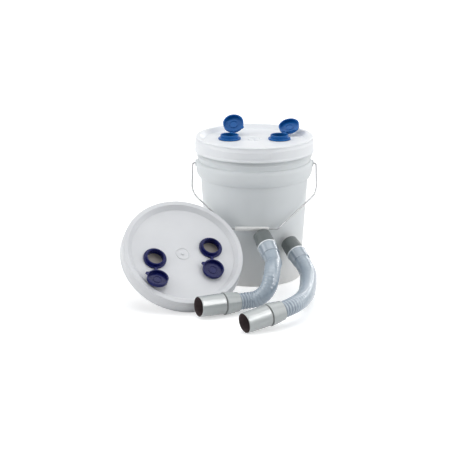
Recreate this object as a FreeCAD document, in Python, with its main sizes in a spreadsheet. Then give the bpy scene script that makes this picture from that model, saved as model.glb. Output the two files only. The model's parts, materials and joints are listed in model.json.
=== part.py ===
import FreeCAD, Part
import Sketcher
import math
import os

from FreeCAD import Placement, Rotation, Vector

# Settling pail kit: a lidded pail with two capped ports, a spare lid and two ribbed hoses.
# Millimetres. The origin is the centre of the pail's base, +Z is up, and -Y is the front.

SIZES = {
    # Small edges used all over
    "edge": 0.8,
    "rounding": 1.2,
    # Pail
    "pail_height": 373.0,
    "pail_radius": 147.2,
    "wall": 2.4,
    "base_inset": 22.7,
    "shelf_inset": 2.6,
    "floor_thickness": 2.8,
    "floor_corner": 4.0,
    "base_recess": 3.0,
    "foot_width": 12.0,
    "foot_edge": 1.5,
    "pad_radius": 22.0,
    "bead_proud": 5.3,
    "bead_height": 11.0,
    # Carrying ring and rib round the pail's neck
    "shelf_drop": 57.0,
    "ring_proud": 7.4,
    "ring_skin": 2.2,
    "crown_drop": 13.0,
    "ring_step": 1.2,
    "ring_drop": 26.0,
    "ring_taper": 17.5,
    "ring_tuck": 8.0,
    "rib_drop": 46.0,
    "rib_proud": 5.0,
    "rib_height": 9.5,
    "rib_flat": 2.5,
    # Ears, bail and grip
    "ear_drop": 67.0,
    "ear_radius": 9.0,
    "ear_root": 4.5,
    "ear_proud": 2.0,
    "pin_depth": 10.0,
    "pin_end_gap": 0.6,
    "pin_clearance": 0.25,
    "wire_radius": 2.0,
    "bail_side_gap": 7.4,
    "bail_overreach": 54.3,
    "bail_shoulder": 92.0,
    "shoulder_bend": 60.0,
    "ear_bend_gap": 0.4,
    "grip_bend": 9.0,
    "grip_room": 17.0,
    "grip_radius": 5.8,
    "grip_length": 88.0,
    "grip_shift": 6.0,
    "grip_clearance": 0.4,
    "grip_rest_gap": 0.8,
    # Lid and its gasket
    "lid_height": 39.0,
    "lid_skin": 3.0,
    "gasket_gap": 0.1,
    "gasket_thickness": 3.9,
    "gasket_inset": 0.4,
    "skirt_clearance": 0.6,
    "skirt_wall": 3.9,
    "lip_proud": 1.0,
    "lip_height": 4.0,
    "lip_slope": 2.6,
    "rim_inset": 1.4,
    "rim_bead_height": 3.2,
    "rim_groove_width": 3.0,
    "rim_groove_depth": 1.0,
    "shoulder_drop": 6.0,
    "channel_inset": 1.6,
    "slope_width": 9.7,
    "deck_drop": 10.0,
    "deck_skin": 2.4,
    "web_drop": 1.4,
    "plug_depth": 14.0,
    "plug_wall": 2.0,
    "plug_clearance": 0.6,
    "boss_radius": 18.5,
    "boss_width": 3.6,
    "boss_height": 1.4,
    "nub_radius": 5.0,
    "nub_height": 2.4,
    "tear_proud": 1.1,
    "tear_root": 2.0,
    "tear_low": 10.0,
    "tear_drop": 12.0,
    "tear_angle": 48.0,
    "tear_centre_angle": 7.6,
    # Snap-in port, its seal and its cap
    "port_inset": 67.5,
    "spare_port_inset": 56.5,
    "port_bore": 21.0,
    "neck_wall": 3.0,
    "neck_height": 13.0,
    "flange_step": 6.0,
    "flange_height": 3.6,
    "sleeve_wall": 4.8,
    "sleeve_depth": 7.0,
    "sleeve_lead": 1.4,
    "snap_proud": 1.5,
    "snap_clearance": 0.3,
    "hole_clearance": 0.4,
    "seal_thickness": 1.0,
    "seal_inset": 0.6,
    "seal_clearance": 0.5,
    "cap_clearance": 0.6,
    "cap_wall": 2.4,
    "cap_lip": 0.5,
    "cap_lip_height": 1.3,
    "cap_skirt_gap": 0.7,
    "cap_top": 2.2,
    "cap_gap": 0.5,
    "cap_recess": 0.7,
    "cap_rim": 4.0,
    "cap_ring_radius": 11.5,
    "cap_ring_width": 1.5,
    "cap_ring_height": 1.2,
    "cap_lie_gap": 0.5,
    "hinge_room": 4.0,
    "strap_width": 7.0,
    "strap_thickness": 2.0,
    "strap_gap": 0.4,
    "lug_root": 2.2,
    "lug_rise": 0.5,
    "arm_root": 1.6,
    "tab_length": 6.0,
    "tab_width": 11.0,
    "tab_flare": 1.5,
    "tab_taper": 2.5,
    "tab_angle": -62.0,
    "film_thickness": 0.8,
    "film_gap": 0.2,
    # How the caps stand open, and which way each hinge faces
    "cap_left_open": 138.0,
    "cap_right_open": 151.0,
    "port_left_turn": 81.0,
    "port_right_turn": 66.0,
    "spare_left_open": 166.0,
    "spare_right_open": 178.0,
    "spare_port_turn": -105.5,
    # Where the spare lid stands, by the point of its skirt that is nearest the left hose's cuff
    "spare_lean": 48.0,
    "spare_yaw": 20.0,
    "spare_roll": 6.1,
    "spare_touch_angle": 37.0,
    "spare_touch_x": -67.1,
    "spare_touch_front": 137.5,
    # Ribbed hose
    "hose_radius": 21.5,
    "hose_groove": 2.0,
    "hose_wall": 1.6,
    "rib_pitch": 8.5,
    # Upper cuff and rubber coupling
    "upper_insert": 30.0,
    "socket_clearance": 0.2,
    "upper_end_wall": 1.9,
    "upper_wall": 2.9,
    "stop_thickness": 3.4,
    "stop_proud": 1.4,
    "stop_lead": 2.0,
    "spigot_radius": 21.0,
    "spigot_wall": 3.1,
    "spigot_length": 14.0,
    "coupling_length": 42.0,
    "coupling_wall": 4.0,
    "coupling_pipe_bore": 19.0,
    "coupling_pipe_wall": 3.4,
    "coupling_pipe_depth": 20.0,
    "coupling_stop": 2.2,
    # Lower cuff, whose mouth slips over a port's neck
    "lower_insert": 33.0,
    "lower_wall": 3.3,
    "tier_length": 13.0,
    "tier_rise": 1.8,
    "tier_slope": 0.6,
    "throat_length": 7.0,
    "throat_clearance": 0.5,
    "cuff_groove_width": 2.5,
    "cuff_groove_depth": 1.4,
    "mouth_floor": 3.5,
    "mouth_depth": 64.0,
    "mouth_clearance": 0.3,
    "mouth_wall": 1.7,
    "mouth_draft": 1.0,
}

# Sizes that follow from the ones above
FOLLOWING = {
    "base_radius": "pail_radius - base_inset",
    "shelf_radius": "pail_radius - shelf_inset",
    "bead_radius": "pail_radius + bead_proud",
    "rib_radius": "pail_radius + rib_proud",
    "ring_radius": "pail_radius + ring_proud",
    "shelf_level": "pail_height - shelf_drop",
    "rib_level": "pail_height - rib_drop",
    "ear_level": "pail_height - ear_drop",
    "ring_upper_inset": "ring_step + 0.19 * (ring_tuck - ring_step)",
    "ring_lower_inset": "ring_step + 0.54 * (ring_tuck - ring_step)",
    "ring_upper_drop": "ring_drop + 0.37 * ring_taper",
    "ring_lower_drop": "ring_drop + 0.71 * ring_taper",
    "ring_tip_drop": "ring_drop + ring_taper",
    "ear_start": "pail_radius - ear_root",
    "ear_face": "ring_radius + ear_proud",
    "bail_half_width": "ear_face + bail_side_gap",
    "ear_bend": "bail_side_gap - ear_bend_gap",
    "bail_reach": "pail_radius + bail_overreach",
    "grip_span": "grip_length / 2 + grip_room",
    "lid_seat": "pail_height + gasket_gap + gasket_thickness + lid_skin - lid_height",
    "skirt_inside": "bead_radius + skirt_clearance",
    "skirt_radius": "skirt_inside + skirt_wall",
    "lip_radius": "skirt_radius + lip_proud",
    "rim_radius": "skirt_radius - rim_inset",
    "rim_inner": "pail_radius - wall - channel_inset",
    "deck_radius": "rim_inner - slope_width",
    "port_offset": "deck_radius - port_inset",
    "spare_port_offset": "deck_radius - spare_port_inset",
    "deck_level": "lid_height - deck_drop",
    "roof_level": "lid_height - lid_skin",
    "neck_outer": "port_bore + neck_wall",
    "flange_radius": "neck_outer + flange_step",
    "sleeve_radius": "port_bore + sleeve_wall",
    "snap_radius": "sleeve_radius + snap_proud",
    "seal_radius": "flange_radius - seal_inset",
    "seal_bore": "sleeve_radius + seal_clearance",
    "flange_top": "seal_thickness + flange_height",
    "cap_inside": "neck_outer + cap_clearance",
    "cap_radius": "cap_inside + cap_wall",
    "cap_ceiling": "neck_height + cap_gap",
    "cap_crown": "cap_ceiling + cap_top",
    "cap_skirt_low": "flange_top + cap_skirt_gap",
    "hinge_offset": "flange_radius + hinge_room",
    "hinge_level": "(cap_crown + cap_lie_gap) / 2",
    "arm_low": "hinge_level - strap_thickness / 2",
    "arm_high": "hinge_level + strap_thickness / 2",
    "tab_half": "tab_width / 2",
    "film_radius": "sleeve_radius - sleeve_lead",
    "hose_bore": "hose_radius - hose_groove - hose_wall",
    "socket": "hose_radius + socket_clearance",
    "upper_end_radius": "socket + upper_end_wall",
    "upper_radius": "socket + upper_wall",
    "stop_radius": "upper_radius + stop_proud",
    "spigot_bore": "spigot_radius - spigot_wall",
    "spigot_top": "stop_thickness + spigot_length",
    "coupling_wide": "spigot_radius + coupling_wall",
    "coupling_narrow": "coupling_pipe_bore + coupling_pipe_wall",
    "coupling_stop_bore": "coupling_pipe_bore - coupling_stop",
    "coupling_top": "stop_thickness + coupling_length",
    "cuff_start": "socket + lower_wall",
    "cuff_end_radius": "cuff_start + 2 * tier_rise + tier_slope",
    "cuff_shoulder": "lower_insert + throat_length",
    "cuff_throat": "hose_bore + throat_clearance",
    "cuff_groove_end": "cuff_shoulder + cuff_groove_width",
    "mouth_start": "cuff_groove_end + mouth_floor",
    "mouth_bore": "neck_outer + mouth_clearance",
    "mouth_outer": "mouth_bore + mouth_wall",
    "mouth_root": "mouth_outer + mouth_draft",
    "cuff_groove_radius": "mouth_outer - cuff_groove_depth",
    "cuff_length": "mouth_start + mouth_depth",
}

# The carrying ring's crown is a quarter of an ellipse, from the neck out to the ring's widest line.
CROWN_STEPS = 6
for crown_step in range(CROWN_STEPS + 1):
    crown_turn = math.radians(90.0 * crown_step / CROWN_STEPS)
    FOLLOWING[f"crown_inset_{crown_step}"] = f"{1 - math.sin(crown_turn):.5f} * ring_proud"
    FOLLOWING[f"crown_drop_{crown_step}"] = f"{1 - math.cos(crown_turn):.5f} * crown_drop"

# Hose routes from the upper cuff's stop to the lower cuff's stop, chosen by hand from the photograph.
# Each y is counted from the front of the pail's carrying ring.
HOSE_ROUTES = {
    "left": [
        (34.0, -34.4, 126.7),
        (53.4, -83.5, 97.1),
        (47.0, -122.8, 99.4),
        (45.0, -156.4, 84.0),
        (36.0, -176.4, 54.0),
        (12.0, -181.9, 32.0),
        (-17.2, -182.9, 27.5),
        (-70.0, -211.9, 29.2),
    ],
    "right": [
        (111.0, 5.6, 98.0),
        (139.5, -45.9, 67.5),
        (139.5, -95.4, 57.0),
        (136.5, -145.4, 49.5),
        (131.0, -195.4, 47.5),
        (118.0, -243.4, 47.0),
        (86.3, -293.0, 43.1),
        (40.9, -323.1, 36.0),
    ],
}

doc = FreeCAD.newDocument("settling_pail_kit")
sheet = doc.addObject("Spreadsheet::Sheet", "dims")
entries = {alias: str(number) for alias, number in SIZES.items()}
entries.update({alias: "=" + rule for alias, rule in FOLLOWING.items()})
for row, (alias, entry) in enumerate(entries.items(), 1):
    sheet.set(f"A{row}", alias)
    sheet.setAlias(f"B{row}", alias)
    sheet.set(f"B{row}", entry)
doc.recompute()

parts = {}


# Sums of named sizes

def amount(terms):
    """The number that a sum of named sizes and plain numbers gives."""
    result = 0.0
    for term in terms:
        if isinstance(term, str):
            sign = -1.0 if term.startswith("-") else 1.0
            result += sign * getattr(sheet, term.lstrip("-"))
        else:
            result += term
    return result


def formula(terms):
    """The same sum written for the document, so that it follows the sheet."""
    text = ""
    for term in terms:
        if isinstance(term, str):
            sign = "-" if term.startswith("-") else "+"
            text += f" {sign} dims.{term.lstrip('-')}"
        else:
            text += f" + ({term})"
    return text.strip().lstrip("+").strip()


def size(alias):
    return getattr(sheet, alias)


def bind(item, path, *terms):
    item.setExpression(path, formula(terms))


# Sketches and features

def new_body(name, place=None):
    body = doc.addObject("PartDesign::Body", name)
    body.Label = name
    body.Placement = place if place else Placement()
    parts[name] = body
    return body


def plane_of(body, role):
    for item in body.Origin.OriginFeatures:
        if item.Role == role:
            return item
    raise ValueError(role)


def new_sketch(body, name, role, raised=()):
    sketch = body.newObject("Sketcher::SketchObject", name)
    sketch.AttachmentSupport = (plane_of(body, role), [""])
    sketch.MapMode = "FlatFace"
    if raised:
        bind(sketch, "AttachmentOffset.Base.z", *raised)
    return sketch


def pin_point(sketch, line, axis, terms):
    """Hold the start of a line at a named distance from the sketch's origin."""
    number = amount(terms)
    if not terms:
        sketch.addConstraint(Sketcher.Constraint("PointOnObject", line, 1, -2 if axis == "X" else -1))
        return
    index = sketch.addConstraint(Sketcher.Constraint("Distance" + axis, -1, 1, line, 1, number))
    bind(sketch, f"Constraints[{index}]", *terms)


def outline(sketch, corners):
    """A closed outline of straight edges, each corner held by named sizes."""
    spots = [Vector(amount(across), amount(along), 0) for across, along in corners]
    last = len(spots)
    for index in range(last):
        sketch.addGeometry(Part.LineSegment(spots[index], spots[(index + 1) % last]), False)
    for index in range(last):
        sketch.addConstraint(Sketcher.Constraint("Coincident", index, 2, (index + 1) % last, 1))
    for index, (across, along) in enumerate(corners):
        pin_point(sketch, index, "X", across)
        pin_point(sketch, index, "Y", along)


def circle(sketch, radius, across=(), along=()):
    """A circle whose radius and centre are named sizes."""
    centre = Vector(amount(across), amount(along), 0)
    index = sketch.addGeometry(Part.Circle(centre, Vector(0, 0, 1), amount(radius)), False)
    held = sketch.addConstraint(Sketcher.Constraint("Radius", index, amount(radius)))
    bind(sketch, f"Constraints[{held}]", *radius)
    for axis, terms in (("X", across), ("Y", along)):
        if terms:
            held = sketch.addConstraint(
                Sketcher.Constraint("Distance" + axis, -1, 1, index, 3, amount(terms))
            )
            bind(sketch, f"Constraints[{held}]", *terms)
        else:
            sketch.addConstraint(
                Sketcher.Constraint("PointOnObject", index, 3, -2 if axis == "X" else -1)
            )


def turned(body, corners):
    """Revolve an outline of radius and height pairs about the body's own axis."""
    sketch = new_sketch(body, body.Name + "_profile", "XZ_Plane")
    outline(sketch, corners)
    solid = body.newObject("PartDesign::Revolution", body.Name + "_turned")
    solid.Profile = sketch
    solid.ReferenceAxis = (sketch, ["V_Axis"])
    solid.Angle = 360.0
    body.Tip = solid
    doc.recompute()
    return solid


def pad(body, sketch, length, name):
    feature = body.newObject("PartDesign::Pad", name)
    feature.Profile = sketch
    bind(feature, "Length", *length)
    body.Tip = feature
    doc.recompute()
    return feature


def pocket(body, sketch, length, name):
    """Cut a sketch away; the direction that removes material is kept."""
    before = body.Shape.Volume
    feature = body.newObject("PartDesign::Pocket", name)
    feature.Profile = sketch
    bind(feature, "Length", *length)
    body.Tip = feature
    doc.recompute()
    if body.Shape.Volume > before - 1e-3:
        feature.Reversed = True
        doc.recompute()
    if body.Shape.Volume > before - 1e-3:
        raise RuntimeError(name + " cuts nothing")
    return feature


def mirrored(body, features, name):
    feature = body.newObject("PartDesign::Mirrored", name)
    feature.Originals = features
    feature.MirrorPlane = (plane_of(body, "YZ_Plane"), [""])
    body.Tip = feature
    doc.recompute()
    return feature


# Places

def moved(x, y, z):
    return Placement(Vector(x, y, z), Rotation())


def turned_about(axis, angle):
    return Placement(Vector(), Rotation(axis, angle))


def frame_along(origin, direction):
    """A place at the origin point whose own +Z runs along the direction."""
    return Placement(origin, Rotation(Vector(0, 0, 1), direction))


# Pail

def make_pail():
    body = new_body("pail")
    inside_floor = ("base_recess", "floor_thickness")
    ring_inside = ("ring_radius", "-ring_skin", "-ring_step")
    crown = [
        (("ring_radius", f"-crown_inset_{step}"), ("shelf_level", f"-crown_drop_{step}"))
        for step in range(CROWN_STEPS + 1)
    ]
    ring_curve = [
        (("ring_radius", "-ring_step"), ("shelf_level", "-ring_drop")),
        (("ring_radius", "-ring_upper_inset"), ("shelf_level", "-ring_upper_drop")),
        (("ring_radius", "-ring_lower_inset"), ("shelf_level", "-ring_lower_drop")),
        (("ring_radius", "-ring_tuck"), ("shelf_level", "-ring_tip_drop")),
    ]
    turned(body, [
        ((), ()),
        (("pad_radius",), ()),
        (("pad_radius", "foot_edge"), ("base_recess",)),
        (("base_radius", "-foot_width"), ("base_recess",)),
        (("base_radius", "-foot_width", "foot_edge"), ()),
        (("base_radius", "-foot_edge"), ()),
        (("base_radius",), ("foot_edge",)),
        (("shelf_radius",), ("shelf_level", "-ring_skin")),
        (("pail_radius",), ("shelf_level", "-ring_skin", "-edge")),
        (ring_inside, ("shelf_level", "-crown_drop")),
        *(((*across, "-ring_skin"), along) for across, along in ring_curve),
        *reversed(ring_curve),
        *reversed(crown),
        (("pail_radius",), ("rib_level",)),
        (("rib_radius",), ("rib_level", "edge")),
        (("rib_radius",), ("rib_level", "rib_flat")),
        (("pail_radius",), ("rib_level", "rib_height")),
        (("pail_radius",), ("pail_height", "-bead_height", "-rounding")),
        (("bead_radius",), ("pail_height", "-bead_height")),
        (("bead_radius",), ("pail_height", "-rounding")),
        (("bead_radius", "-rounding"), ("pail_height",)),
        (("pail_radius", "-wall", "rounding"), ("pail_height",)),
        (("pail_radius", "-wall"), ("pail_height", "-rounding")),
        (("pail_radius", "-wall"), ("shelf_level", "shelf_inset")),
        (("shelf_radius", "-wall"), ("shelf_level",)),
        (("base_radius", "-wall"), (*inside_floor, "floor_corner")),
        (("base_radius", "-wall", "-floor_corner"), inside_floor),
        ((), inside_floor),
    ])
    face = new_sketch(body, "ear_outline", "YZ_Plane", ("ear_start",))
    circle(face, ("ear_radius",), (), ("ear_level",))
    ear = pad(body, face, ("ear_face", "-ear_start"), "ear")
    mirrored(body, [ear], "ears")
    hole = new_sketch(body, "ear_hole_outline", "YZ_Plane", ("ear_face",))
    circle(hole, ("wire_radius", "pin_clearance"), (), ("ear_level",))
    bore = pocket(body, hole, ("pin_depth", "pin_end_gap"), "ear_hole")
    mirrored(body, [bore], "ear_holes")


# Bail wire and grip

def bend_wire(corners, radii, wire_radius):
    """A round rod along straight runs, with an arc of the given radius at each inner corner."""
    edges = rounded_route(corners, radii)
    path = Part.Wire(edges)
    start = edges[0].valueAt(edges[0].FirstParameter)
    heading = edges[0].tangentAt(edges[0].FirstParameter)
    section = Part.Wire([Part.Circle(start, heading, wire_radius).toShape()])
    return path.makePipeShell([section], True, False)


def rounded_route(corners, radii):
    """Straight runs joined by tangent arcs."""
    edges = []
    start = corners[0]
    for before, corner, after, radius in zip(corners, corners[1:], corners[2:], radii):
        back = (before - corner).normalize()
        ahead = (after - corner).normalize()
        half_turn = (math.pi - back.getAngle(ahead)) / 2
        reach = radius * math.tan(half_turn)
        entry = corner + back * reach
        leave = corner + ahead * reach
        middle_way = (back + ahead).normalize()
        middle = corner + middle_way * (radius / math.cos(half_turn) - radius)
        if (entry - start).Length > 1e-6:
            edges.append(Part.LineSegment(start, entry).toShape())
        edges.append(Part.Arc(entry, middle, leave).toShape())
        start = leave
    edges.append(Part.LineSegment(start, corners[-1]).toShape())
    return edges


def bail_rest_angle():
    """How far forward the bail hangs, with its grip just clear of the pail's wall."""
    slope = (size("shelf_radius") - size("base_radius")) / size("shelf_level")
    tilt = math.atan(slope)
    wall_at_ears = size("base_radius") + slope * size("ear_level")
    away = wall_at_ears * math.cos(tilt) + size("grip_radius") + size("grip_rest_gap")
    return math.degrees(math.asin(away / size("bail_reach")) - tilt)


def bail_place():
    lift = moved(0, 0, size("ear_level"))
    return lift.multiply(turned_about(Vector(1, 0, 0), -bail_rest_angle()))


def make_bail():
    half = size("bail_half_width")
    inner = size("ear_face") - size("pin_depth")
    reach = -size("bail_reach")
    corners = [
        Vector(-inner, 0, 0),
        Vector(-half, 0, 0),
        Vector(-half, 0, -size("bail_shoulder")),
        Vector(-size("grip_span"), 0, reach),
        Vector(size("grip_span"), 0, reach),
        Vector(half, 0, -size("bail_shoulder")),
        Vector(half, 0, 0),
        Vector(inner, 0, 0),
    ]
    bends = [size("ear_bend"), size("shoulder_bend"), size("grip_bend")]
    solid = bend_wire(corners, bends + bends[::-1], size("wire_radius"))
    wire = doc.addObject("Part::Feature", "bail_wire")
    wire.Label = "bail_wire"
    wire.Shape = solid
    wire.Placement = bail_place()
    parts["bail_wire"] = wire

    across = Rotation(Vector(0, 1, 0), 90)
    grip_start = -size("grip_shift") - size("grip_length") / 2
    grip_at = Placement(Vector(grip_start, 0, reach), across)
    body = new_body("bail_grip", bail_place().multiply(grip_at))
    bore = ("wire_radius", "grip_clearance")
    turned(body, [
        (bore, ()),
        (("grip_radius", "-edge"), ()),
        (("grip_radius",), ("edge",)),
        (("grip_radius",), ("grip_length", "-edge")),
        (("grip_radius", "-edge"), ("grip_length",)),
        (bore, ("grip_length",)),
    ])


# Lids

def make_lid(prefix, place, offset):
    body = new_body(prefix + "lid", place)
    deck = ("deck_level",)
    under = ("deck_level", "-deck_skin")
    roof = ("roof_level",)
    rim_top = ("lid_height",)
    groove = ("rim_radius", "-rim_groove_depth")
    groove_top = ("lid_height", "-rim_bead_height")
    groove_low = ("lid_height", "-rim_bead_height", "-rim_groove_width")
    plug_outside = ("pail_radius", "-wall", "-plug_clearance")
    plug_inside = (*plug_outside, "-plug_wall")
    turned(body, [
        ((), (*deck, "nub_height")),
        (("nub_radius", "-edge"), (*deck, "nub_height")),
        (("nub_radius",), deck),
        (("boss_radius", "-boss_width"), deck),
        (("boss_radius", "-boss_width", "edge"), (*deck, "boss_height")),
        (("boss_radius", "-edge"), (*deck, "boss_height")),
        (("boss_radius",), deck),
        (("deck_radius",), deck),
        (("rim_inner",), (*rim_top, "-edge")),
        (("rim_inner", "edge"), rim_top),
        (("rim_radius", "-rounding"), rim_top),
        (("rim_radius",), (*rim_top, "-rounding")),
        (("rim_radius",), groove_top),
        (groove, (*groove_top, "-edge")),
        (groove, groove_low),
        (("skirt_radius",), (*groove_low, "-shoulder_drop")),
        (("skirt_radius",), ("lip_height", "lip_slope")),
        (("lip_radius",), ("lip_height",)),
        (("lip_radius",), ("edge",)),
        (("lip_radius", "-edge"), ()),
        (("skirt_inside",), ()),
        (("skirt_inside",), roof),
        (plug_outside, roof),
        (plug_outside, (*rim_top, "-plug_depth")),
        (plug_inside, (*rim_top, "-plug_depth")),
        (plug_inside, (*roof, "-web_drop")),
        (("deck_radius", "edge"), under),
        ((), under),
    ])
    strip = new_sketch(body, prefix + "tear_outline", "XZ_Plane")
    turn = Rotation(Vector(0, 1, 0), 270.0 - size("tear_centre_angle"))
    strip.AttachmentOffset = Placement(Vector(), turn)
    outline(strip, [
        (("skirt_radius", "-tear_root"), ("tear_low",)),
        (("skirt_radius", "tear_proud"), ("tear_low", "edge")),
        (("skirt_radius", "tear_proud"), (*rim_top, "-tear_drop", "-edge")),
        (("skirt_radius", "-tear_root"), (*rim_top, "-tear_drop")),
    ])
    tear = body.newObject("PartDesign::Revolution", prefix + "tear_strip")
    tear.Profile = strip
    tear.ReferenceAxis = (strip, ["V_Axis"])
    tear.Midplane = True
    bind(tear, "Angle", "tear_angle")
    body.Tip = tear
    doc.recompute()
    mouths = new_sketch(body, prefix + "port_holes_outline", "XY_Plane", (*deck, "edge"))
    for side in ("", "-"):
        circle(mouths, ("sleeve_radius", "hole_clearance"), (side + offset,), ())
    pocket(body, mouths, ("deck_skin", "edge", "edge"), prefix + "port_holes")

    gasket = new_body(prefix + "lid_gasket", place)
    pail_top = ("roof_level", "-gasket_thickness")
    gasket_outside = ("bead_radius", "-gasket_inset")
    gasket_inside = ("pail_radius", "-wall", "gasket_inset")
    turned(gasket, [
        (gasket_inside, pail_top),
        ((*gasket_outside, "-edge"), pail_top),
        (gasket_outside, (*pail_top, "edge")),
        (gasket_outside, roof),
        (gasket_inside, roof),
    ])


def port_place(lid_place, offset, turn):
    """A port's own frame: on the deck, its hinge along the frame's own +X."""
    spot = lid_place.multiply(moved(offset, 0, size("deck_level")))
    return spot.multiply(turned_about(Vector(0, 0, 1), turn))


def opened(place, angle):
    """The cap's place once it has swung about the hinge by the angle."""
    hinge = Vector(size("hinge_offset"), 0, size("hinge_level"))
    swing = Placement(Vector(), Rotation(Vector(0, 1, 0), angle), hinge)
    return place.multiply(swing)


def make_port(name, place, open_angle):
    collar = new_body(name.format("collar"), place)
    flange_low = ("seal_thickness",)
    snap_top = ("-deck_skin", "-snap_clearance")
    turned(collar, [
        (("port_bore",), ("-sleeve_depth",)),
        (("sleeve_radius", "-sleeve_lead"), ("-sleeve_depth",)),
        (("snap_radius",), (*snap_top, "-edge")),
        (("snap_radius",), snap_top),
        (("sleeve_radius",), snap_top),
        (("sleeve_radius",), flange_low),
        (("flange_radius",), flange_low),
        (("flange_radius",), ("flange_top", "-edge")),
        (("flange_radius", "-edge"), ("flange_top",)),
        (("neck_outer",), ("flange_top",)),
        (("neck_outer",), ("neck_height", "-edge")),
        (("neck_outer", "-edge"), ("neck_height",)),
        (("port_bore", "edge"), ("neck_height",)),
        (("port_bore",), ("neck_height", "-edge")),
    ])
    lug = new_sketch(collar, name.format("lug") + "_outline", "XZ_Plane")
    lug_top = ("hinge_level", "-strap_thickness", "lug_rise")
    outline(lug, [
        (("flange_radius", "-lug_root"), (*flange_low, "edge")),
        (("hinge_offset", "-strap_gap"), (*flange_low, "edge")),
        (("hinge_offset", "-strap_gap"), lug_top),
        (("flange_radius", "-edge"), lug_top),
        (("flange_radius", "-lug_root"), ("flange_top", "-edge")),
    ])
    tongue = pad(collar, lug, ("strap_width",), name.format("lug"))
    tongue.Midplane = True
    doc.recompute()

    seal = new_body(name.format("seal"), place)
    turned(seal, [
        (("seal_bore",), ()),
        (("seal_radius",), ()),
        (("seal_radius",), flange_low),
        (("seal_bore",), flange_low),
    ])

    cap = new_body(name.format("cap"), opened(place, open_angle))
    ring_low = ("cap_ceiling", "-cap_ring_height")
    turned(cap, [
        ((), ("cap_crown", "-cap_recess")),
        (("cap_radius", "-cap_rim", "-edge"), ("cap_crown", "-cap_recess")),
        (("cap_radius", "-cap_rim"), ("cap_crown",)),
        (("cap_radius", "-edge"), ("cap_crown",)),
        (("cap_radius",), ("cap_crown", "-edge")),
        (("cap_radius",), ("cap_skirt_low", "cap_lip_height", "cap_lip")),
        (("cap_radius", "cap_lip"), ("cap_skirt_low", "cap_lip_height")),
        (("cap_radius", "cap_lip"), ("cap_skirt_low",)),
        (("cap_inside",), ("cap_skirt_low",)),
        (("cap_inside",), ("cap_ceiling",)),
        (("cap_ring_radius",), ("cap_ceiling",)),
        (("cap_ring_radius",), ring_low),
        (("cap_ring_radius", "-cap_ring_width"), ring_low),
        (("cap_ring_radius", "-cap_ring_width"), ("cap_ceiling",)),
        ((), ("cap_ceiling",)),
    ])
    arm = new_sketch(cap, name.format("arm") + "_outline", "XZ_Plane")
    outline(arm, [
        (("cap_radius", "-arm_root"), ("arm_low",)),
        (("hinge_offset", "-strap_gap"), ("arm_low",)),
        (("hinge_offset", "-strap_gap"), ("arm_high",)),
        (("cap_radius", "-arm_root"), ("arm_high",)),
    ])
    reach = pad(cap, arm, ("strap_width",), name.format("arm"))
    reach.Midplane = True
    doc.recompute()
    tab = new_sketch(cap, name.format("tab") + "_outline", "XY_Plane")
    tab.AttachmentOffset = turned_about(Vector(0, 0, 1), size("tab_angle"))
    bind(tab, "AttachmentOffset.Base.z", "cap_skirt_low")
    outline(tab, [
        (("cap_radius", "-arm_root"), ("-tab_half", "-tab_flare")),
        (("cap_radius", "tab_length"), ("-tab_half", "tab_taper")),
        (("cap_radius", "tab_length"), ("tab_half", "-tab_taper")),
        (("cap_radius", "-arm_root"), ("tab_half", "tab_flare")),
    ])
    pad(cap, tab, ("strap_thickness",), name.format("tab"))


def make_film(name, place):
    """A thin disc that closes a port from below."""
    film = new_body(name, place)
    high = ("-sleeve_depth", "-film_gap")
    low = ("-sleeve_depth", "-film_gap", "-film_thickness")
    turned(film, [
        ((), low),
        (("film_radius",), low),
        (("film_radius",), high),
        ((), high),
    ])


# Hoses

def hose_arc_radii(points):
    """Each corner's arc takes 0.45 of the shorter of its two runs."""
    radii = []
    for before, corner, after in zip(points, points[1:], points[2:]):
        shorter = min((before - corner).Length, (after - corner).Length)
        half_turn = (math.pi - (before - corner).getAngle(after - corner)) / 2
        radii.append(0.45 * shorter / math.tan(half_turn))
    return radii


def stations(edges, places):
    """The point and heading at each distance along the joined edges."""
    found = []
    lengths = [edge.Length for edge in edges]
    for place in places:
        left = place
        for index, (edge, length) in enumerate(zip(edges, lengths)):
            if left <= length or index == len(edges) - 1:
                at = edge.getParameterByLength(min(left, length))
                found.append((edge.valueAt(at), edge.tangentAt(at)))
                break
            left -= length
    return found


def ring_at(point, heading, steady, radius):
    """A circle square to the heading, its start kept on the same side all the way."""
    across = (steady - heading * steady.dot(heading)).normalize()
    turn = Rotation(across, heading.cross(across), heading, "ZXY")
    ring = Part.Circle(Vector(), Vector(0, 0, 1), radius).toShape()
    ring.Placement = Placement(point, turn)
    return Part.Wire([ring])


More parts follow.
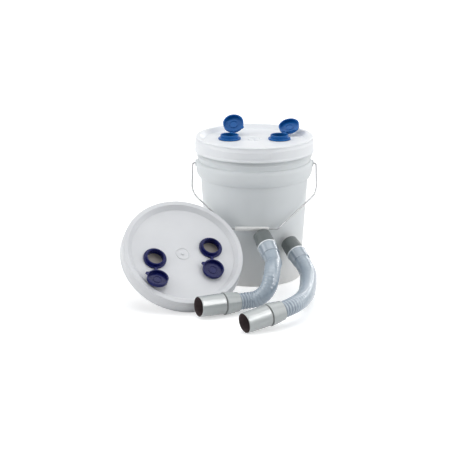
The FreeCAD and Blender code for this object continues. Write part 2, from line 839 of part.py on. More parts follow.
def make_hose_tube(side, points):
    """A ribbed tube: four circles to a rib outside, and a smooth bore."""
    edges = rounded_route(points, hose_arc_radii(points))
    length = sum(edge.Length for edge in edges)
    ribs = round(length / size("rib_pitch"))
    pitch = length / ribs
    crest = size("hose_radius")
    root = crest - size("hose_groove")
    steady = (points[0] - points[1]).cross(points[-1] - points[-2]).normalize()
    distances = []
    radii = []
    for rib in range(ribs):
        for share, radius in ((0.0, root), (0.2, crest), (0.6, crest), (0.8, root)):
            distances.append((rib + share) * pitch)
            radii.append(radius)
    distances.append(length)
    radii.append(root)
    outer = [
        ring_at(point, heading, steady, radius)
        for (point, heading), radius in zip(stations(edges, distances), radii)
    ]
    bore_steps = [index * length / ribs for index in range(ribs + 1)]
    inner = [
        ring_at(point, heading, steady, size("hose_bore"))
        for point, heading in stations(edges, bore_steps)
    ]
    skin = Part.makeLoft(outer, True, True)
    bore = Part.makeLoft(inner, True, True)
    solid = skin.cut(bore)
    name = f"hose_{side}_tube"
    tube = doc.addObject("Part::Feature", name)
    tube.Label = name
    tube.Shape = solid
    tube.Placement = Placement()
    parts[name] = tube
    slope_square = (crest ** 2 + crest * root + root ** 2) / 3
    mean_square = 0.4 * crest ** 2 + 0.2 * root ** 2 + 0.4 * slope_square
    expected = math.pi * (mean_square - size("hose_bore") ** 2) * length
    print(name, "ribs", ribs, "length", round(length, 1), "arc radii",
          [round(radius, 1) for radius in hose_arc_radii(points)])
    print(name, "volume", round(solid.Volume), "section times length", round(expected))


def make_hose_ends(side, points):
    """The stiff pieces at the hose's two ends."""
    up = (points[0] - points[1]).normalize()
    out = (points[-1] - points[-2]).normalize()
    upper_place = frame_along(points[0], up)
    cuff = new_body(f"hose_{side}_upper_cuff", upper_place)
    turned(cuff, [
        (("socket",), ("-upper_insert",)),
        (("upper_end_radius", "-edge"), ("-upper_insert",)),
        (("upper_end_radius",), ("-upper_insert", "edge")),
        (("upper_radius",), ("-stop_lead",)),
        (("stop_radius", "-edge"), ("-edge",)),
        (("stop_radius",), ()),
        (("stop_radius",), ("stop_thickness", "-edge")),
        (("stop_radius", "-edge"), ("stop_thickness",)),
        (("spigot_radius",), ("stop_thickness",)),
        (("spigot_radius",), ("spigot_top",)),
        (("spigot_bore",), ("spigot_top",)),
        (("spigot_bore",), ()),
        (("socket",), ()),
    ])
    coupling = new_body(f"hose_{side}_rubber_coupling", upper_place)
    low = ("stop_thickness",)
    high = ("coupling_top",)
    step = ("coupling_top", "-coupling_pipe_depth")
    turned(coupling, [
        (("spigot_radius",), low),
        (("coupling_wide", "-edge"), low),
        (("coupling_wide",), (*low, "edge")),
        (("coupling_narrow",), (*high, "-edge")),
        (("coupling_narrow", "-edge"), high),
        (("coupling_pipe_bore",), high),
        (("coupling_pipe_bore",), step),
        (("coupling_stop_bore",), step),
        (("coupling_stop_bore",), ("spigot_top",)),
        (("spigot_radius",), ("spigot_top",)),
    ])
    lower_start = points[-1] - out * size("lower_insert")
    lower = new_body(f"hose_{side}_lower_cuff", frame_along(lower_start, out))
    first_tier = ("tier_length",)
    second_tier = ("tier_length", "tier_length")
    shoulder = ("cuff_shoulder",)
    groove_end = ("cuff_groove_end",)
    mouth = ("cuff_length",)
    turned(lower, [
        (("socket",), ()),
        (("cuff_start", "-edge"), ()),
        (("cuff_start",), ("edge",)),
        (("cuff_start", "tier_slope"), first_tier),
        (("cuff_start", "tier_rise"), (*first_tier, "edge")),
        (("cuff_start", "tier_rise", "tier_slope"), second_tier),
        (("cuff_start", "tier_rise", "tier_rise"), (*second_tier, "edge")),
        (("cuff_end_radius",), (*shoulder, "-edge")),
        (("cuff_end_radius", "-edge"), shoulder),
        (("cuff_groove_radius",), shoulder),
        (("cuff_groove_radius",), groove_end),
        (("mouth_root", "-edge"), groove_end),
        (("mouth_root",), (*groove_end, "edge")),
        (("mouth_outer",), (*mouth, "-edge")),
        (("mouth_outer", "-edge"), mouth),
        (("mouth_bore",), mouth),
        (("mouth_bore",), ("mouth_start",)),
        (("cuff_throat",), ("mouth_start",)),
        (("cuff_throat",), ("lower_insert",)),
        (("socket",), ("lower_insert",)),
    ])


# Assembly

def spare_lid_place():
    """The spare lid leans back on its skirt; the skirt's point nearest the left cuff is given."""
    lean = math.radians(size("spare_lean"))
    yaw = math.radians(size("spare_yaw"))
    clock = math.radians(size("spare_touch_angle"))
    facing = Vector(
        math.sin(yaw) * math.cos(lean), -math.cos(yaw) * math.cos(lean), math.sin(lean)
    )
    sideways = Vector(math.cos(yaw), math.sin(yaw), 0)
    rising = facing.cross(sideways)
    radius = size("lip_radius")
    to_touch = (sideways * math.sin(clock) - rising * math.cos(clock)) * radius
    lowest = radius * math.cos(lean) - size("edge") * min(math.sin(lean), math.cos(lean))
    touch_y = -size("ring_radius") - size("spare_touch_front")
    centre = Vector(size("spare_touch_x") - to_touch.x, touch_y - to_touch.y, lowest)
    stand = Placement(centre, Rotation(sideways, rising, facing, "ZXY"))
    return stand.multiply(turned_about(Vector(0, 0, 1), size("spare_roll")))


make_pail()
make_bail()

fitted = moved(0, 0, size("lid_seat"))
make_lid("", fitted, "port_offset")
spare = spare_lid_place()
make_lid("spare_", spare, "spare_port_offset")
for side_name, side in (("left", -1), ("right", 1)):
    port = port_place(fitted, side * size("port_offset"), size(f"port_{side_name}_turn"))
    make_port("port_{}_" + side_name, port, size(f"cap_{side_name}_open"))
    port = port_place(spare, side * size("spare_port_offset"), size("spare_port_turn"))
    make_port("spare_{}_" + side_name, port, size(f"spare_{side_name}_open"))
    make_film(f"spare_film_{side_name}", port)

for hose_side, route in HOSE_ROUTES.items():
    route_points = [Vector(x, y - size("ring_radius"), z) for x, y, z in route]
    make_hose_tube(hose_side, route_points)
    make_hose_ends(hose_side, route_points)

doc.recompute()
for item in doc.Objects:
    if "Invalid" in item.State or "Error" in item.State:
        raise RuntimeError(f"{item.Label}: {item.State}")
for name, item in parts.items():
    if item.Shape.isNull() or not item.Shape.isValid():
        raise RuntimeError(name + " has no valid shape")
    if len(item.Shape.Solids) != 1:
        raise RuntimeError(f"{name} has {len(item.Shape.Solids)} solids")

os.makedirs("parts", exist_ok=True)
for name, item in parts.items():
    item.Shape.exportStep(f"parts/{name}.step")
print(len(parts), "parts written")
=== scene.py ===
import json
import math

import bmesh
import bpy
from mathutils import Matrix, Vector


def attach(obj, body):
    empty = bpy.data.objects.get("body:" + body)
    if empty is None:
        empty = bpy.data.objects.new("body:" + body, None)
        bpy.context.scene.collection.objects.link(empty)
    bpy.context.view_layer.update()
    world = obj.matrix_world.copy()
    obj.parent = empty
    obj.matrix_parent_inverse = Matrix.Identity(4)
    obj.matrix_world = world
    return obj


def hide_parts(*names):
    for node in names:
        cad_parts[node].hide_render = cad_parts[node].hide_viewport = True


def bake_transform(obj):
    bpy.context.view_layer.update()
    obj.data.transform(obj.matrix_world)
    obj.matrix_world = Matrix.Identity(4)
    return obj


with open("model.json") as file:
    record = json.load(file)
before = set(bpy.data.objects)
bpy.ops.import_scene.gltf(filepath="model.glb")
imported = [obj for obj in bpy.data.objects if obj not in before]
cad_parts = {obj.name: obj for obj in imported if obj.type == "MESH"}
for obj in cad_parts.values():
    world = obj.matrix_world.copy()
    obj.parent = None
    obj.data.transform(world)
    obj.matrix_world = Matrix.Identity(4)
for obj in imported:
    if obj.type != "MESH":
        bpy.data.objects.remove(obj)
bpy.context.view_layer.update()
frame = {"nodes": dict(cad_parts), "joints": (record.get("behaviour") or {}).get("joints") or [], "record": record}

nodes = frame["nodes"]
record = frame["record"]

# Lengths are in metres and angles in radians unless a name says otherwise.

# Camera, at the photograph's viewing angle
CAMERA_PLACE = Vector((0.0, -5.0, 1.4636))
CAMERA_DOWN = 0.2597
CAMERA_LEFT = 0.0156
CAMERA_LENS_MM = 154.6
SENSOR_WIDTH_MM = 36.0
CAMERA_REACH = 100.0

# Hose: radii of its crest and bore, and how deep its grooves are near the lower cuff and far from it
HOSE_CREST = 0.0215
RIB_DEPTH = 0.0020
RIB_DEPTH_FAR = 0.0005
DEEP_RIBS = 0.110
HOSE_BORE = 0.0179
RIB_PITCH = 0.0085
RIB_STEPS = 8
RIB_SQUARENESS = 0.55
HOSE_SIDES = 72
LINE_STEPS = 48

# Routes repeated from the part's source, from each upper cuff's stop to its lower cuff's stop.
# Each y is counted from the front of the pail's carrying ring.
RING_FRONT = 0.1546
HOSE_ROUTES = {
    "left": [
        (0.0340, -0.0344, 0.1267),
        (0.0534, -0.0835, 0.0971),
        (0.0470, -0.1228, 0.0994),
        (0.0450, -0.1564, 0.0840),
        (0.0360, -0.1764, 0.0540),
        (0.0120, -0.1819, 0.0320),
        (-0.0172, -0.1829, 0.0275),
        (-0.0700, -0.2119, 0.0292),
    ],
    "right": [
        (0.1110, 0.0056, 0.0980),
        (0.1395, -0.0459, 0.0675),
        (0.1395, -0.0954, 0.0570),
        (0.1365, -0.1454, 0.0495),
        (0.1310, -0.1954, 0.0475),
        (0.1180, -0.2434, 0.0470),
        (0.0863, -0.2930, 0.0431),
        (0.0409, -0.3231, 0.0360),
    ],
}
CUFF_MOUTH_BORE = 0.0243

# Strap across each cap's hinge. Points are counted from the hinge line, outwards and upwards.
STRAP_WIDTH = 0.0068
STRAP_THICKNESS = 0.0013
STRAP_WAIST = 0.22
STRAP_STEPS = 24
STRAP_SIDES = 16
STRAP_ON_LUG = Vector((-0.0040, -0.0023))
STRAP_LUG_LEAD = Vector((0.0058, 0.0))
STRAP_ON_ARM = 0.0040
STRAP_ARM_LEAD = 0.0050

# Gloss of the hoses and cuffs
GLOSS_ROUGHNESS = (0.12, 0.24)
GLOSS_COAT = 0.6
GLOSS_COAT_ROUGHNESS = 0.08
GLOSS_IOR = 1.52

# Floor and surroundings
FLOOR_REACH = 30.0
FLOOR_DROP = 0.0002
FLOOR_GLOW = 0.45
AMBIENT_COLOUR = (0.93, 0.96, 1.0, 1.0)
AMBIENT_STRENGTH = 0.24

# Wide soft light from far away: name, direction towards it, strength, and how wide it is in degrees
SUNS = (
    ("right_wall", (0.90, -0.18, 0.40), 1.20, 50.0),
    ("left_wall", (-0.90, -0.22, 0.42), 1.35, 50.0),
    ("ceiling", (0.0, 0.15, 1.0), 1.40, 60.0),
)

# Long softboxes for the streaks on hoses and cuffs: name, place, the way the long side runs,
# width, length and power in watts
STRIPS = (
    ("rear_strip", (1.74, 1.62, 1.05), (1.62, -1.62, 0.27), 0.16, 2.8, 14.0),
    ("front_strip", (2.2, -1.5, 2.3), (-0.35, 0.65, 0.63), 0.35, 3.6, 34.0),
)
STRIP_TARGET = Vector((0.0, -0.3, 0.1))


def hose_route(side):
    """The points of one hose's route in the part's own frame."""
    return [Vector((x, y - RING_FRONT, z)) for x, y, z in HOSE_ROUTES[side]]


# Materials

class Nodes:
    """A material and short calls that add its nodes."""

    def __init__(self, name):
        self.material = bpy.data.materials.new(name)
        self.material.use_nodes = True
        self.tree = self.material.node_tree
        self.shader = self.tree.nodes["Principled BSDF"]
        self.place = self.add("ShaderNodeTexCoord").outputs["Object"]

    def add(self, kind, **values):
        node = self.tree.nodes.new(kind)
        for key, value in values.items():
            setattr(node, key, value)
        return node

    def link(self, start, end):
        self.tree.links.new(start, end)

    def noise(self, scale, detail=3.0, stretch=None):
        """Noise over the piece; scale is in lumps per metre."""
        node = self.add("ShaderNodeTexNoise")
        node.inputs["Scale"].default_value = scale
        node.inputs["Detail"].default_value = detail
        place = self.place
        if stretch:
            mapping = self.add("ShaderNodeMapping")
            mapping.inputs["Scale"].default_value = stretch
            self.link(place, mapping.inputs["Vector"])
            place = mapping.outputs["Vector"]
        self.link(place, node.inputs["Vector"])
        return node.outputs["Fac"]

    def span(self, value, low, high, start=0.3, end=0.7):
        """Carry a value from one range into another."""
        node = self.add("ShaderNodeMapRange")
        node.inputs["From Min"].default_value = start
        node.inputs["From Max"].default_value = end
        node.inputs["To Min"].default_value = low
        node.inputs["To Max"].default_value = high
        self.link(value, node.inputs["Value"])
        return node.outputs["Result"]

    def mix(self, share, first, second):
        """Blend two colours, each a colour or a node's output."""
        node = self.add("ShaderNodeMix", data_type="RGBA")
        self.link(share, node.inputs["Factor"])
        for socket, colour in ((node.inputs["A"], first), (node.inputs["B"], second)):
            if isinstance(colour, tuple):
                socket.default_value = (*colour, 1.0)
            else:
                self.link(colour, socket)
        return node.outputs["Result"]

    def height(self):
        """How high each point of the surface is, in metres."""
        split = self.add("ShaderNodeSeparateXYZ")
        self.link(self.place, split.inputs["Vector"])
        return split.outputs["Z"]

    def vector(self, operation, first, second):
        """A vector calculation on the surface's place and a fixed vector."""
        node = self.add("ShaderNodeVectorMath", operation=operation)
        self.link(first, node.inputs[0])
        node.inputs[1].default_value = second
        return node.outputs["Value" if operation == "DOT_PRODUCT" else "Vector"]

    def from_axis(self, point, axis):
        """How far each point of the surface is from a line."""
        away = self.vector("CROSS_PRODUCT", self.vector("SUBTRACT", self.place, point), axis)
        node = self.add("ShaderNodeVectorMath", operation="LENGTH")
        self.link(away, node.inputs[0])
        return node.outputs["Value"]

    def rings(self, axis, pitch):
        """Even rings square to an axis, from 0 to 1."""
        turn = self.add("ShaderNodeMath", operation="MULTIPLY")
        self.link(self.vector("DOT_PRODUCT", self.place, axis), turn.inputs[0])
        turn.inputs[1].default_value = 2 * math.pi / pitch
        wave = self.add("ShaderNodeMath", operation="SINE")
        self.link(turn.outputs[0], wave.inputs[0])
        return self.span(wave.outputs[0], 0.0, 1.0, -1.0, 1.0)

    def gloss(self):
        """Scuffed gloss under a clear coat."""
        self.link(self.span(self.noise(70.0, 6.0), *GLOSS_ROUGHNESS), self.shader.inputs["Roughness"])
        self.shader.inputs["Coat Weight"].default_value = GLOSS_COAT
        self.shader.inputs["Coat Roughness"].default_value = GLOSS_COAT_ROUGHNESS

    def relief(self, heights, depth, edge=0.0):
        """Raise the surface by the heights, over edges softened by a small radius."""
        bump = self.add("ShaderNodeBump")
        bump.inputs["Strength"].default_value = 1.0
        bump.inputs["Distance"].default_value = depth
        self.link(heights, bump.inputs["Height"])
        if edge:
            bevel = self.add("ShaderNodeBevel", samples=4)
            bevel.inputs["Radius"].default_value = edge
            self.link(bevel.outputs["Normal"], bump.inputs["Normal"])
        self.link(bump.outputs["Normal"], self.shader.inputs["Normal"])


def moulded(name, light, dark, rough, gloss_spread=0.08, grain=900.0, depth=0.00004, edge=0.0008,
            waxy=0.0, painted_low_shade=None, shine=0.5):
    """Moulded plastic or rubber: faint colour drift, scuffed gloss and a fine grain; a given low tint paints shade
    and a warm floor reflection, darker towards the bottom.
    """
    made = Nodes(name)
    drift = made.span(made.noise(9.0, 4.0), 0.0, 1.0)
    colour = made.mix(drift, light, dark)
    # Painted shade and painted warm floor reflection: the colour turns darker and warmer towards the bottom.
    if painted_low_shade:
        low, high, low_shade_tint = painted_low_shade
        colour = made.mix(made.span(made.height(), 0.75, 0.0, low, high), colour, low_shade_tint)
    made.link(colour, made.shader.inputs["Base Color"])
    scuff = made.noise(70.0, 6.0, (1.0, 1.0, 3.0))
    made.link(made.span(scuff, rough - gloss_spread, rough + gloss_spread),
              made.shader.inputs["Roughness"])
    made.relief(made.noise(grain, 2.0), depth, edge)
    made.shader.inputs["IOR"].default_value = 1.49
    if waxy:
        made.shader.inputs["Subsurface Weight"].default_value = waxy
        made.shader.inputs["Subsurface Radius"].default_value = (0.004, 0.004, 0.0035)
        made.shader.inputs["Subsurface Scale"].default_value = 1.0
    made.shader.inputs["Specular IOR Level"].default_value = shine
    return made.material


def cuff_shell(name, point, axis):
    """A glossy grey cuff, with painted shade making it darker and browner inside its mouth."""
    made = Nodes(name)
    drift = made.span(made.noise(9.0, 4.0), 0.0, 1.0)
    colour = made.mix(drift, (0.43, 0.46, 0.46), (0.38, 0.41, 0.41))
    away = made.from_axis(point, axis)
    # Painted shade inside the mouth: darker and browner within the bore's radius.
    painted_mouth_shade = made.span(away, 1.0, 0.0, CUFF_MOUTH_BORE + 0.0002, CUFF_MOUTH_BORE + 0.0005)
    made.link(made.mix(painted_mouth_shade, colour, (0.150, 0.115, 0.118)), made.shader.inputs["Base Color"])
    made.gloss()
    made.relief(made.noise(900.0, 2.0), 0.00003, 0.0008)
    made.shader.inputs["IOR"].default_value = GLOSS_IOR
    return made.material


def ribbed_skin(name):
    """The hose's glossy skin, with painted shade darkening it down in its grooves."""
    made = Nodes(name)
    drift = made.span(made.noise(9.0, 4.0), 0.0, 1.0)
    crest = made.mix(drift, (0.36, 0.43, 0.50), (0.31, 0.375, 0.44))
    depth = made.add("ShaderNodeAttribute", attribute_name="rib_height").outputs["Fac"]
    # Painted shade: the colour darkens from the crest colour to a dark blue-grey down in each groove and in the
    # bore.
    made.link(made.mix(made.span(depth, 0.0, 1.0, 0.05, 0.75), (0.19, 0.235, 0.30), crest),
              made.shader.inputs["Base Color"])
    made.gloss()
    made.relief(made.noise(700.0, 2.0), 0.00003)
    made.shader.inputs["IOR"].default_value = GLOSS_IOR
    return made.material


def upper_shell(name, point, axis):
    """A smooth cuff like the hose's skin, with a painted highlight as a paler ring at its stop."""
    made = Nodes(name)
    drift = made.span(made.noise(9.0, 4.0), 0.0, 1.0)
    colour = made.mix(drift, (0.34, 0.40, 0.465), (0.295, 0.355, 0.415))
    along = made.vector("DOT_PRODUCT", made.vector("SUBTRACT", made.place, point), axis)
    # Painted highlight: a paler band just ahead of the stop along the cuff's axis.
    made.link(made.mix(made.span(along, 0.0, 1.0, -0.0012, -0.0008), colour, (0.78, 0.82, 0.85)),
              made.shader.inputs["Base Color"])
    made.gloss()
    made.relief(made.noise(700.0, 2.0), 0.00003, 0.0008)
    return made.material


def ringed_rubber(name, axis):
    """Dark grey rubber with fine moulded rings, painted shade in the rings' troughs, and a dusty bloom."""
    made = Nodes(name)
    rings = made.rings(axis, 0.0031)
    bloom = made.span(made.noise(45.0, 5.0), 0.0, 1.0)
    worn = made.mix(bloom, (0.205, 0.235, 0.235), (0.158, 0.182, 0.182))
    # Painted shade: the rubber's colour is darkest in the troughs of the rings.
    made.link(made.mix(made.span(rings, 0.0, 0.45, 0.0, 1.0), (0.115, 0.132, 0.132), worn),
              made.shader.inputs["Base Color"])
    made.link(made.span(made.noise(120.0, 5.0), 0.34, 0.52), made.shader.inputs["Roughness"])
    made.relief(rings, 0.00035, 0.0010)
    return made.material


def wire_steel(name):
    """Zinc plated wire: drawn along its length, a little dull."""
    made = Nodes(name)
    spots = made.span(made.noise(160.0, 5.0), 0.0, 1.0)
    made.link(made.mix(spots, (0.28, 0.285, 0.29), (0.42, 0.425, 0.43)), made.shader.inputs["Base Color"])
    made.link(made.span(made.noise(400.0, 3.0), 0.28, 0.46), made.shader.inputs["Roughness"])
    made.shader.inputs["Metallic"].default_value = 1.0
    made.relief(made.noise(1500.0, 2.0), 0.00003)
    return made.material


# The pail's low tint is painted shade and painted warm floor reflection near its bottom.
pail_white = moulded("pail_polyethylene", (0.77, 0.80, 0.81), (0.73, 0.76, 0.77), 0.46,
                     grain=500.0, depth=0.00006, edge=0.0006, waxy=0.15, shine=0.35,
                     painted_low_shade=(0.0, 0.16, (0.74, 0.73, 0.71)))
lid_white = moulded("lid_polyethylene", (0.87, 0.89, 0.91), (0.83, 0.85, 0.87), 0.40,
                    grain=500.0, depth=0.00006, edge=0.0006, waxy=0.15)
# The spare lid is the lid's white plastic darkened, as painted shade on its leaning deck.
spare_lid_shaded_white = moulded("spare_lid_shaded_polyethylene", (0.71, 0.72, 0.74), (0.66, 0.67, 0.69), 0.36,
                      grain=500.0, depth=0.00006, edge=0.0006, waxy=0.15)
grip_white = moulded("grip_plastic", (0.84, 0.84, 0.83), (0.79, 0.79, 0.78), 0.30, depth=0.00003)
port_blue = moulded("port_blue", (0.004, 0.120, 0.400), (0.003, 0.092, 0.330), 0.34, 0.06,
                    depth=0.00003, shine=0.2)
port_navy = moulded("port_navy", (0.005, 0.009, 0.105), (0.004, 0.007, 0.080), 0.28, 0.06,
                    depth=0.00003, shine=0.2)
seal_grey = moulded("seal_rubber", (0.16, 0.17, 0.17), (0.12, 0.13, 0.13), 0.62)
# The film's grey-brown is painted shade: it stands in the spare ports' bores, where only shadow shows behind them.
painted_shade_film = moulded("film_plastic", (0.41, 0.375, 0.325), (0.335, 0.305, 0.265), 0.55)
hose_skin = ribbed_skin("hose_plastic")
steel = wire_steel("bail_steel")

MATERIAL_OF_SLOT = {
    "pail_plastic": pail_white,
    "lid_plastic": lid_white,
    "spare_lid_plastic": spare_lid_shaded_white,
    "bail_steel": steel,
    "grip_plastic": grip_white,
    "blue_plastic": port_blue,
    "navy_plastic": port_navy,
    "seal_rubber": seal_grey,
    "film_plastic": painted_shade_film,
}
MATERIAL_OF_NODE = {}
for side in HOSE_ROUTES:
    route = hose_route(side)
    up = (route[0] - route[1]).normalized()
    out = (route[-1] - route[-2]).normalized()
    MATERIAL_OF_NODE[f"hose_{side}_tube"] = hose_skin
    MATERIAL_OF_NODE[f"hose_{side}_upper_cuff"] = upper_shell(f"hose_cuff_{side}", route[0], up)
    MATERIAL_OF_NODE[f"hose_{side}_rubber_coupling"] = ringed_rubber(f"coupling_rubber_{side}", up)
    MATERIAL_OF_NODE[f"hose_{side}_lower_cuff"] = cuff_shell(f"cuff_plastic_{side}", route[-1], out)
for entry in record["subparts"]:
    mesh = nodes[entry["node"]].data
    mesh.materials.clear()
    chosen = MATERIAL_OF_NODE.get(entry["node"])
    mesh.materials.append(chosen or MATERIAL_OF_SLOT[entry["material_slot"]])


# Meshes

def new_object(name, mesh, material):
    """Add a smooth-shaded piece with one material."""
    mesh.materials.append(material)
    for face in mesh.polygons:
        face.use_smooth = True
    piece = bpy.data.objects.new(name, mesh)
    bpy.context.scene.collection.objects.link(piece)
    return piece


def mark(mesh, name, values):
    """Keep a number with each point of a mesh, for its material to read."""
    marks = mesh.attributes.new(name, "FLOAT", "POINT")
    for spot, value in zip(marks.data, values):
        spot.value = value


def rings_to_mesh(name, rings, closed=False):
    """Skin rings of points that each have the same count; closed joins the last ring to the first."""
    mesh = bpy.data.meshes.new(name)
    build = bmesh.new()
    made = [[build.verts.new(point) for point in ring] for ring in rings]
    pairs = list(zip(made, made[1:]))
    if closed:
        pairs.append((made[-1], made[0]))
    for first, second in pairs:
        for index in range(len(first)):
            after = (index + 1) % len(first)
            build.faces.new((first[index], first[after], second[after], second[index]))
    bmesh.ops.recalc_face_normals(build, faces=build.faces)
    build.to_mesh(mesh)
    build.free()
    return mesh


# Hoses

def spline_points(name, route):
    """Points along the smooth line that the route's points control."""
    curve = bpy.data.curves.new(name, "CURVE")
    curve.dimensions = "3D"
    spline = curve.splines.new("NURBS")
    spline.points.add(len(route) - 1)
    for point, spot in zip(spline.points, route):
        point.co = (*spot, 1.0)
    spline.order_u = 3
    spline.use_endpoint_u = True
    spline.resolution_u = LINE_STEPS
    holder = bpy.data.objects.new(name, curve)
    line = bpy.data.meshes.new_from_object(holder)
    found = [vertex.co.copy() for vertex in line.vertices]
    bpy.data.objects.remove(holder)
    bpy.data.curves.remove(curve)
    bpy.data.meshes.remove(line)
    return found


def walk(points, distances):
    """The place and heading at each distance along a line of points."""
    found = []
    index = 0
    passed = 0.0
    for distance in distances:
        while index < len(points) - 2 and passed + (points[index + 1] - points[index]).length < distance:
            passed += (points[index + 1] - points[index]).length
            index += 1
        step = points[index + 1] - points[index]
        share = (distance - passed) / step.length
        before = points[index] - points[max(index - 1, 0)] + step
        after = points[min(index + 2, len(points) - 1)] - points[index + 1] + step
        heading = before.normalized().lerp(after.normalized(), min(max(share, 0.0), 1.0))
        found.append((points[index].lerp(points[index + 1], share), heading.normalized()))
    return found


def ring(place, heading, radius, steady):
    """A ring of points square to the heading."""
    across = (steady - heading * steady.dot(heading)).normalized()
    up = heading.cross(across)
    turns = [2 * math.pi * index / HOSE_SIDES for index in range(HOSE_SIDES)]
    return [place + radius * (math.cos(turn) * across + math.sin(turn) * up) for turn in turns]


def rib_height(share):
    """From 0 in the groove to 1 on the crest, at a share of one rib: a broad crest, a narrow groove."""
    return (0.5 - 0.5 * math.cos(2 * math.pi * share)) ** RIB_SQUARENESS


def ribbed_hose(side):
    """The ribbed tube with its bore, from one cuff's stop to the other's."""
    line = spline_points(f"hose_{side}_line", hose_route(side))
    length = sum((after - before).length for before, after in zip(line, line[1:]))
    ribs = round(length / RIB_PITCH)
    steps = ribs * RIB_STEPS
    steady = (line[0] - line[1]).cross(line[-1] - line[-2]).normalized()
    stations = walk(line, [length * step / steps for step in range(steps + 1)])
    outer = []
    heights = []
    for step, (place, heading) in enumerate(stations):
        near_cuff = max(0.0, 1.0 - length * (1.0 - step / steps) / DEEP_RIBS)
        depth = RIB_DEPTH_FAR + (RIB_DEPTH - RIB_DEPTH_FAR) * min(1.0, 2.0 * near_cuff)
        sunk = depth * (1.0 - rib_height(step / RIB_STEPS))
        outer.append(ring(place, heading, HOSE_CREST - sunk, steady))
        heights.append(1.0 - sunk / RIB_DEPTH)
    inner = [ring(place, heading, HOSE_BORE, steady) for place, heading in stations[::RIB_STEPS]]
    heights.extend([0.0] * len(inner))
    mesh = rings_to_mesh(f"hose_{side}", outer + inner[::-1], closed=True)
    mark(mesh, "rib_height", [height for height in heights for _ in range(HOSE_SIDES)])
    piece = new_object(f"hose_{side}", mesh, hose_skin)
    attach(piece, f"hose_{side}")
    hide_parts(f"hose_{side}_tube")


for side in HOSE_ROUTES:
    ribbed_hose(side)


# Straps between ports and caps

def port_frame(mount_name, joint_name):
    """A cap's hinge point, the ways outwards, along and up from it, and how far the cap is open."""
    mount = next(item for item in record["mounts"] if item["name"] == mount_name)
    joint = next(item for item in frame["joints"] if item["name"] == joint_name)
    along = Vector(joint["axis"])
    up = Vector(mount["axis"])
    return Vector(joint["pos_m"]), along.cross(up), along, up, -math.radians(joint["range_deg"][0])


def rounded(value, power):
    """A power of a sine or cosine that keeps its sign, for a strip with rounded edges."""
    return math.copysign(abs(value) ** power, value)


def strap(name, mount_name, joint_name, material):
    """A thin moulded strap from the collar's lug, round the hinge and onto the cap's arm."""
    hinge, out, along, up, opened = port_frame(mount_name, joint_name)
    arm = Vector((-math.cos(opened), math.sin(opened)))
    on_arm = arm * STRAP_ON_ARM
    first = STRAP_ON_LUG + STRAP_LUG_LEAD
    second = on_arm - arm * STRAP_ARM_LEAD
    spots = []
    for step in range(STRAP_STEPS + 1):
        share = step / STRAP_STEPS
        rest = 1 - share
        spots.append(STRAP_ON_LUG * rest ** 3 + first * 3 * share * rest ** 2
                     + second * 3 * share ** 2 * rest + on_arm * share ** 3)
    rings = []
    for index, spot in enumerate(spots):
        ahead = spots[min(index + 1, STRAP_STEPS)] - spots[max(index - 1, 0)]
        ahead.normalize()
        side_way = Vector((-ahead.y, ahead.x))
        waist = 1.0 - STRAP_WAIST * math.sin(math.pi * index / STRAP_STEPS)
        corners = []
        for corner in range(STRAP_SIDES):
            turn = 2 * math.pi * corner / STRAP_SIDES
            wide = rounded(math.cos(turn), 0.35) * STRAP_WIDTH / 2 * waist
            thick = rounded(math.sin(turn), 0.6) * STRAP_THICKNESS / 2
            across = spot + side_way * thick
            corners.append(hinge + out * across.x + up * across.y + along * wide)
        rings.append(corners)
    mesh = rings_to_mesh(name, rings)
    piece = new_object(name, mesh, material)
    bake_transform(piece)


for which in ("left", "right"):
    strap(f"strap_{which}", f"port_{which}", f"cap_{which}_flip",
          port_blue)
    strap(f"spare_strap_{which}", f"spare_port_{which}", f"spare_cap_{which}_flip",
          port_navy)


# Floor, light and camera

def seen_or_mirrored(tree):
    """1 for a ray from the camera or one that was reflected or let through, otherwise 0."""
    rays = tree.nodes.new("ShaderNodeLightPath")
    mirrored = tree.nodes.new("ShaderNodeMath")
    mirrored.operation = "MAXIMUM"
    tree.links.new(rays.outputs["Is Glossy Ray"], mirrored.inputs[0])
    tree.links.new(rays.outputs["Is Transmission Ray"], mirrored.inputs[1])
    seen = tree.nodes.new("ShaderNodeMath")
    seen.operation = "MAXIMUM"
    tree.links.new(rays.outputs["Is Camera Ray"], seen.inputs[0])
    tree.links.new(mirrored.outputs[0], seen.inputs[1])
    return seen.outputs[0]


def stage_floor():
    """A plain pale floor that the camera sees as white where no shadow falls."""
    size = FLOOR_REACH
    corners = [(-size, -size, 0), (size, -size, 0), (size, size, 0), (-size, size, 0)]
    mesh = bpy.data.meshes.new("floor")
    mesh.from_pydata(corners, [], [(0, 1, 2, 3)])
    floor = bpy.data.objects.new("floor", mesh)
    bpy.context.scene.collection.objects.link(floor)
    floor.location.z = -FLOOR_DROP
    made = Nodes("floor_white")
    made.shader.inputs["Roughness"].default_value = 0.9
    made.shader.inputs["Specular IOR Level"].default_value = 0.0
    made.link(made.mix(made.span(made.noise(2.0), 0.0, 1.0), (0.86, 0.86, 0.86), (0.84, 0.84, 0.84)),
              made.shader.inputs["Base Color"])
    glow = made.add("ShaderNodeEmission")
    strength = made.add("ShaderNodeMath", operation="MULTIPLY")
    made.link(seen_or_mirrored(made.tree), strength.inputs[0])
    strength.inputs[1].default_value = FLOOR_GLOW
    made.link(strength.outputs[0], glow.inputs["Strength"])
    both = made.add("ShaderNodeAddShader")
    made.link(made.shader.outputs[0], both.inputs[0])
    made.link(glow.outputs[0], both.inputs[1])
    made.link(both.outputs[0], made.tree.nodes["Material Output"].inputs["Surface"])
    mesh.materials.append(made.material)


def sun_light(name, towards, strength, spread):
    """Light that falls the same way everywhere, from the given direction."""
    lamp = bpy.data.lights.new(name, "SUN")
    lamp.energy = strength
    lamp.angle = math.radians(spread)
    holder = bpy.data.objects.new(name, lamp)
    holder.rotation_mode = "QUATERNION"
    holder.rotation_quaternion = (-Vector(towards)).to_track_quat("-Z", "Y")
    bpy.context.scene.collection.objects.link(holder)


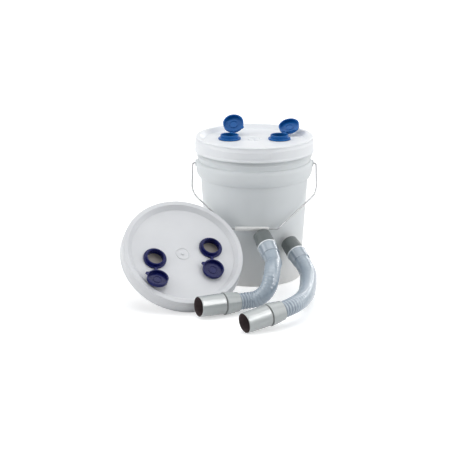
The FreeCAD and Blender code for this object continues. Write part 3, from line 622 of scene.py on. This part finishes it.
def strip_light(name, place, rising, width, length, strength):
    """A long softbox that shows only as streaks on glossy pieces."""
    lamp = bpy.data.lights.new(name, "AREA")
    lamp.shape = "RECTANGLE"
    lamp.size = width
    lamp.size_y = length
    lamp.energy = strength
    holder = bpy.data.objects.new(name, lamp)
    holder.visible_diffuse = False
    holder.visible_camera = False
    back = (Vector(place) - STRIP_TARGET).normalized()
    across = Vector(rising).cross(back).normalized()
    turn = Matrix((across, back.cross(across), back)).transposed().to_4x4()
    holder.matrix_world = Matrix.Translation(Vector(place)) @ turn
    bpy.context.scene.collection.objects.link(holder)


def stage_world():
    """Even pale surroundings, white to the camera and in reflections."""
    world = bpy.data.worlds.new("studio")
    bpy.context.scene.world = world
    world.use_nodes = True
    tree = world.node_tree
    tree.nodes.clear()
    output = tree.nodes.new("ShaderNodeOutputWorld")
    shine = tree.nodes.new("ShaderNodeBackground")
    shine.inputs["Color"].default_value = (1.0, 1.0, 1.0, 1.0)
    shine.inputs["Strength"].default_value = 1.0
    ambient = tree.nodes.new("ShaderNodeBackground")
    ambient.inputs["Color"].default_value = AMBIENT_COLOUR
    ambient.inputs["Strength"].default_value = AMBIENT_STRENGTH
    choose = tree.nodes.new("ShaderNodeMixShader")
    tree.links.new(seen_or_mirrored(tree), choose.inputs["Fac"])
    tree.links.new(ambient.outputs[0], choose.inputs[1])
    tree.links.new(shine.outputs[0], choose.inputs[2])
    tree.links.new(choose.outputs[0], output.inputs["Surface"])


stage_floor()
stage_world()
for sun in SUNS:
    sun_light(*sun)
for strip in STRIPS:
    strip_light(*strip)

scene = bpy.context.scene
scene.view_settings.view_transform = "Standard"
camera_data = bpy.data.cameras.new("photo_camera")
camera_data.sensor_width = SENSOR_WIDTH_MM
camera_data.lens = CAMERA_LENS_MM
camera_data.clip_end = CAMERA_REACH
camera = bpy.data.objects.new("photo_camera", camera_data)
camera.location = CAMERA_PLACE
camera.rotation_euler = (math.pi / 2 - CAMERA_DOWN, 0, CAMERA_LEFT)
scene.collection.objects.link(camera)
scene.camera = camera
